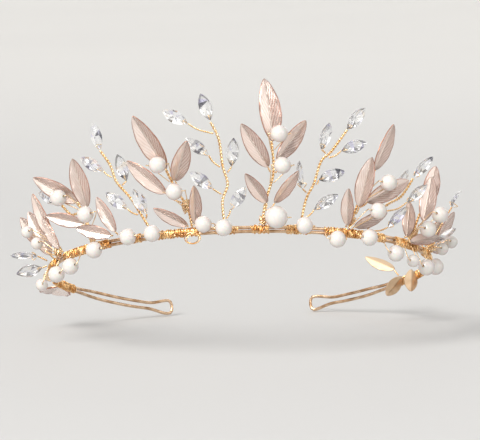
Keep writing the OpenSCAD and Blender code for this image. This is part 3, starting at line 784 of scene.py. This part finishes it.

# %% [markdown]
# A pearl bead is a ball drilled from side to side. The coat is a pale ivory lacquer with fine mother-of-pearl
# in it: a bright, slightly soft highlight, and a faint pink and green cast that changes towards the edge,
# where the colour is also painted darker as painted shade. The ball starts with its poles at the two ends of
# the
# hole: the poles are removed and their rings bridged.

# %% Finish of the pearls
PEARL, tree, shader = finish("ivory_pearl")
edge = add(tree, "ShaderNodeLayerWeight", {"Blend": 0.45}).outputs["Facing"]
place = add(tree, "ShaderNodeTexCoord").outputs["Object"]
cloud = add(tree, "ShaderNodeTexNoise", {"Vector": place, "Scale": 160.0, "Detail": 2.0}).outputs["Fac"]
# painted shade: the pearl's colour turns pinker and then darker towards its edge
pink_cast_and_edge_shade = ramp(tree, edge, [(0.1, (0.80, 0.77, 0.73)), (0.5, (0.72, 0.65, 0.61)), (0.9, (0.48, 0.39, 0.34))])
coat_with_edge_shade = mix_colour(tree, math_node(tree, "MULTIPLY", cloud, 0.3), pink_cast_and_edge_shade, (0.78, 0.76, 0.75))
tree.links.new(coat_with_edge_shade, shader.inputs["Base Color"])
skin = add(tree, "ShaderNodeTexNoise", {"Vector": place, "Scale": 1400.0, "Detail": 2.0}).outputs["Fac"]
relief = add(tree, "ShaderNodeBump", {"Height": skin, "Strength": 0.06, "Distance": 0.0001})
tree.links.new(relief.outputs["Normal"], shader.inputs["Normal"])
for label, value in (("Roughness", 0.2), ("Coat Weight", 1.0), ("Coat Roughness", 0.04),
                     ("Subsurface Weight", 0.15), ("Subsurface Scale", 0.002)):
    shader.inputs[label].default_value = value
print("pearl finish:", PEARL.name)

# %% One pearl
POLE = 0.999
HOLE_RIM = 0.98
nothing_selected()
bpy.ops.mesh.primitive_uv_sphere_add(segments=40, ring_count=20, radius=1, location=(0, 0, 0))
pearl = bpy.context.object
bpy.ops.object.mode_set(mode="EDIT")
bpy.ops.mesh.select_mode(type="VERT")
pick(pearl, lambda p: abs(p.z) > POLE)
bpy.ops.mesh.delete(type="VERT")
pick(pearl, lambda p: abs(p.z) > HOLE_RIM)
bpy.ops.mesh.bridge_edge_loops()
bpy.ops.mesh.select_all(action="SELECT")
bpy.ops.mesh.normals_make_consistent(inside=False)
bpy.ops.object.mode_set(mode="OBJECT")
pearl.data.materials.append(PEARL)
active(pearl)
bpy.ops.object.shade_smooth_by_angle(angle=math.radians(50))
print("pearl pattern:", len(pearl.data.polygons), "faces")


# %% Place the pearls
PEARL_FIT = 0.995


def ball(points):
    """The centre and radius of the ball that points lie on."""
    middle = points.mean(0)
    local = (points - middle) / MM
    answer = np.linalg.lstsq(np.c_[2 * local, np.ones(len(local))], (local ** 2).sum(1), rcond=None)[0]
    return middle + answer[:3] * MM, math.sqrt(answer[3] + answer[:3] @ answer[:3]) * MM


THREADS = [(a, b) for wires in WIRES.values() for line, d in wires if d < THREAD_LIMIT
           for a, b in zip(line, line[1:])]
THREAD_MIDDLES = np.array([(a + b) / 2 for a, b in THREADS])


def copies_on(pattern, places):
    """Copies of a pattern, each with its own mesh, placed by a matrix."""
    made = []
    for matrix in places:
        copy = pattern.copy()
        copy.data = pattern.data.copy()
        copy.data.transform(matrix)
        bpy.context.scene.collection.objects.link(copy)
        made.append(copy)
    return made


for name in sorted(n for n in nodes if "pearl" in n and n not in WIRES):
    places = []
    for points, _ in solids(name):
        centre, radius = ball(points)
        a, b = THREADS[np.linalg.norm(THREAD_MIDDLES - centre, axis=1).argmin()]
        turn = Vector((0, 0, 1)).rotation_difference(Vector(b - a)).to_matrix().to_4x4()
        places.append(Matrix.Translation(centre) @ turn @ Matrix.Scale(PEARL_FIT * radius, 4))
    piece = stands_for(join(copies_on(pearl, places), name + "_coated"), name, "pearl")
    print(piece.name, len(places), "pearls")
bpy.data.objects.remove(pearl)

# %% [markdown]
# Each crystal is a pointed oval with one flat face. A thin girdle runs round its edge, and on the other side
# slanting facets draw in to a short keel. A cut stone shows the light of the room in some facets and its dark
# in others, so every facet is given a shade of its own, drawn at random, besides what the glass reflects. The
# draws follow the order of the facets in the mesh, and that order can differ from one run to the next.

# %% Finish of the crystals
CRYSTAL, tree, shader = finish("cut_crystal")
shade = add(tree, "ShaderNodeAttribute", attribute_name="shade").outputs["Fac"]
flash = ramp(tree, shade, [(0.0, (0.05, 0.05, 0.07)), (0.07, (0.30, 0.30, 0.34)), (0.12, (0.72, 0.70, 0.98)),
                           (0.18, (0.97, 0.98, 1.0)), (0.9, (1.0, 1.0, 1.0)), (0.98, (1.0, 0.90, 0.78))])
tree.links.new(flash, shader.inputs["Base Color"])
for label, value in (("Roughness", 0.02), ("IOR", 1.55), ("Transmission Weight", 0.85)):
    shader.inputs[label].default_value = value
print("crystal finish:", CRYSTAL.name)

# %% One crystal
CRYSTAL_SLIM = 0.46
CRYSTAL_DEEP = 0.3
OUTLINE = 16
nothing_selected()
bpy.ops.mesh.primitive_circle_add(vertices=OUTLINE, radius=0.5, fill_type="NGON", location=(0, 0, 0))
crystal = bpy.context.object
bpy.ops.object.mode_set(mode="EDIT")
bpy.ops.mesh.select_mode(type="VERT")
bpy.ops.mesh.select_all(action="SELECT")
bpy.ops.transform.translate(value=(0, 0.5, 0))
for row in range(1, OUTLINE // 2):
    turn = math.pi * row / (OUTLINE // 2)
    y = 0.5 - 0.5 * math.cos(turn)
    half = CRYSTAL_SLIM / 2 * math.sin(math.pi * y) ** 0.8
    pick(crystal, lambda p: abs(p.y - y) < 0.01)
    bpy.ops.transform.resize(value=(half / (0.5 * math.sin(turn)), 1, 1), center_override=(0, y, 0))
# each step outwards from the girdle: width and length left, and height
KEEL = ((1, 1, -0.01), (0.7, 0.8, -0.09), (0.12, 0.4, -CRYSTAL_DEEP / 2))
width, length, height = 1, 1, 0
bpy.ops.mesh.select_all(action="SELECT")
for next_width, next_length, next_height in KEEL:
    bpy.ops.mesh.extrude_region_move(TRANSFORM_OT_translate={"value": (0, 0, next_height - height)})
    bpy.ops.transform.resize(value=(next_width / width, next_length / length, 1),
                             center_override=(0, 0.5, 0))
    width, length, height = next_width, next_length, next_height
bpy.ops.mesh.select_all(action="SELECT")
bpy.ops.mesh.remove_doubles(threshold=0.0005)
bpy.ops.mesh.quads_convert_to_tris(quad_method="LONGEST_DIAGONAL")
bpy.ops.mesh.normals_make_consistent(inside=False)
bpy.ops.object.mode_set(mode="OBJECT")
crystal.data.materials.append(CRYSTAL)
print("crystal pattern:", len(crystal.data.polygons), "facets")


# %% Place the crystals
HOLE_SHARE = 0.18


def crystal_place(points):
    """The matrix that puts the crystal pattern on a plain crystal."""
    middle = points.mean(0)
    far = points[np.linalg.norm(points - middle, axis=1).argmax()]
    other = points[np.linalg.norm(points - far, axis=1).argmax()]
    low_end, top_end = sorted((far, other), key=lambda e: np.linalg.norm(e - middle))
    length = np.linalg.norm(top_end - low_end)
    along = (top_end - low_end) / length
    share = (points - low_end) @ along / length
    off = points - low_end - np.outer(share * length, along)
    drilled = np.abs(share - HOLE_SHARE) < 0.05
    thick_way = np.linalg.svd(off[drilled])[2][0]
    matrix = np.eye(4)
    matrix[:3, 0] = np.cross(along, thick_way) * length
    matrix[:3, 1] = along * length
    matrix[:3, 2] = thick_way * length
    matrix[:3, 3] = low_end
    return Matrix(matrix.tolist())


for seed, name in enumerate(sorted(n for n in nodes if n.endswith("_crystals"))):
    draw = random.Random(70 + seed)
    copies = copies_on(crystal, [crystal_place(points) for points, _ in solids(name)])
    for copy in copies:
        shade = copy.data.attributes.new("shade", "FLOAT", "FACE")
        shade.data.foreach_set("value", [draw.random() for _ in copy.data.polygons])
    piece = stands_for(join(copies, name + "_cut"), name, "crystal")
    print(piece.name, len(copies), "crystals")
bpy.data.objects.remove(crystal)

# %% [markdown]
# The light is that of a soft box studio. The main light stands high on the left and in front, with a large
# panel in front, a weak one on the right and one behind. The lamps are large, so shadows are soft, and the
# camera doesn't see them.

# %% Lamps
def lamp(name, kind, place, power, colour, **settings):
    """A lamp that faces the tiara and isn't seen by the camera."""
    made = bpy.data.objects.new(name, bpy.data.lights.new(name, kind))
    bpy.context.scene.collection.objects.link(made)
    made.data.energy = power
    made.data.color = colour
    for setting, value in settings.items():
        setattr(made.data, setting, value)
    made.location = place
    made.rotation_euler = (-Vector(place)).to_track_quat("-Z", "Y").to_euler()
    made.visible_camera = False
    return made


lamp("key", "SUN", (-0.8, -0.85, 1.15), 1.8, (1.0, 0.97, 0.93), angle=math.radians(30))
lamp("glint_left", "AREA", (-0.8, -0.9, 0.9), 2.6, (1.0, 0.98, 0.95), size=0.22)
lamp("glint_right", "AREA", (1.1, -0.9, 0.6), 0.7, (0.97, 0.98, 1.0), size=0.3)
lamp("front_panel", "AREA", (-0.5, -1.5, 0.9), 7.0, (1.0, 0.98, 0.96), size=0.9)
lamp("back", "AREA", (0.3, 1.2, 1.0), 0.8, (1.0, 1.0, 1.0), size=0.8)
print(len(bpy.data.lights), "lamps")

# %% [markdown]
# The room gives the even part of the light. Shiny metal and glass look flat in an even room, so rays that
# mirror or pass through glass meet another one: brighter, with dark patches between pale panels. Only these
# rays see the patches, and matt things are lit by the even room alone.

# %% Room
world = bpy.data.worlds.new("room")
bpy.context.scene.world = world
bpy.context.scene.view_settings.view_transform = "Standard"
world.use_nodes = True
tree = world.node_tree
ROOM_LIGHT = 0.56
MIRRORED_LIGHT = 0.9
direction = add(tree, "ShaderNodeTexCoord").outputs["Generated"]
panels = add(tree, "ShaderNodeTexNoise", {"Vector": direction, "Scale": 3.4, "Detail": 1.0}).outputs["Fac"]
reflected = ramp(tree, panels, [(0.41, (0.02, 0.018, 0.016)), (0.45, (0.5, 0.49, 0.48)),
                                (0.5, (1.0, 0.99, 0.97))])
path = add(tree, "ShaderNodeLightPath").outputs
mirrored = math_node(tree, "MAXIMUM", path["Is Glossy Ray"], path["Is Transmission Ray"])
colour = mix_colour(tree, mirrored, (1.0, 0.99, 0.975), reflected)
strength = math_node(tree, "ADD", ROOM_LIGHT, math_node(tree, "MULTIPLY", mirrored, MIRRORED_LIGHT))
tree.links.new(colour, tree.nodes["Background"].inputs["Color"])
tree.links.new(strength, tree.nodes["Background"].inputs["Strength"])
print("room light", ROOM_LIGHT, "and", MIRRORED_LIGHT, "more in reflections")

# %% [markdown]
# The sheet is matt pale paper, slightly uneven all over. Its tone is painted darker near the tiara, as
# painted shade, and paler farther out, as painted light, which makes the backdrop bright without lamps of its
# own.

# %% Finish of the stage
SHEET, tree, shader = finish("pale_sheet")
place = add(tree, "ShaderNodeTexCoord").outputs["Object"]
wash = add(tree, "ShaderNodeTexNoise", {"Vector": place, "Scale": 3.0, "Detail": 2.0}).outputs["Fac"]
away = add(tree, "ShaderNodeVectorMath", {0: place}, operation="LENGTH").outputs["Value"]
# painted shade near the tiara and painted light farther out: the tone goes from darker to paler with distance
painted_falloff = ramp(tree, math_node(tree, "DIVIDE", away, FLOOR_RADIUS),
             [(0.03, (0.63, 0.63, 0.628)), (0.35, (0.80, 0.795, 0.78))])
uneven_with_painted_falloff = mix_colour(tree, math_node(tree, "MULTIPLY", wash, 0.08), painted_falloff, (0.5, 0.5, 0.5))
tree.links.new(uneven_with_painted_falloff, shader.inputs["Base Color"])
shader.inputs["Roughness"].default_value = 0.7
stage.data.materials.append(SHEET)
print("stage finished in", SHEET.name)

# %% Sizes before and after
low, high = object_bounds()
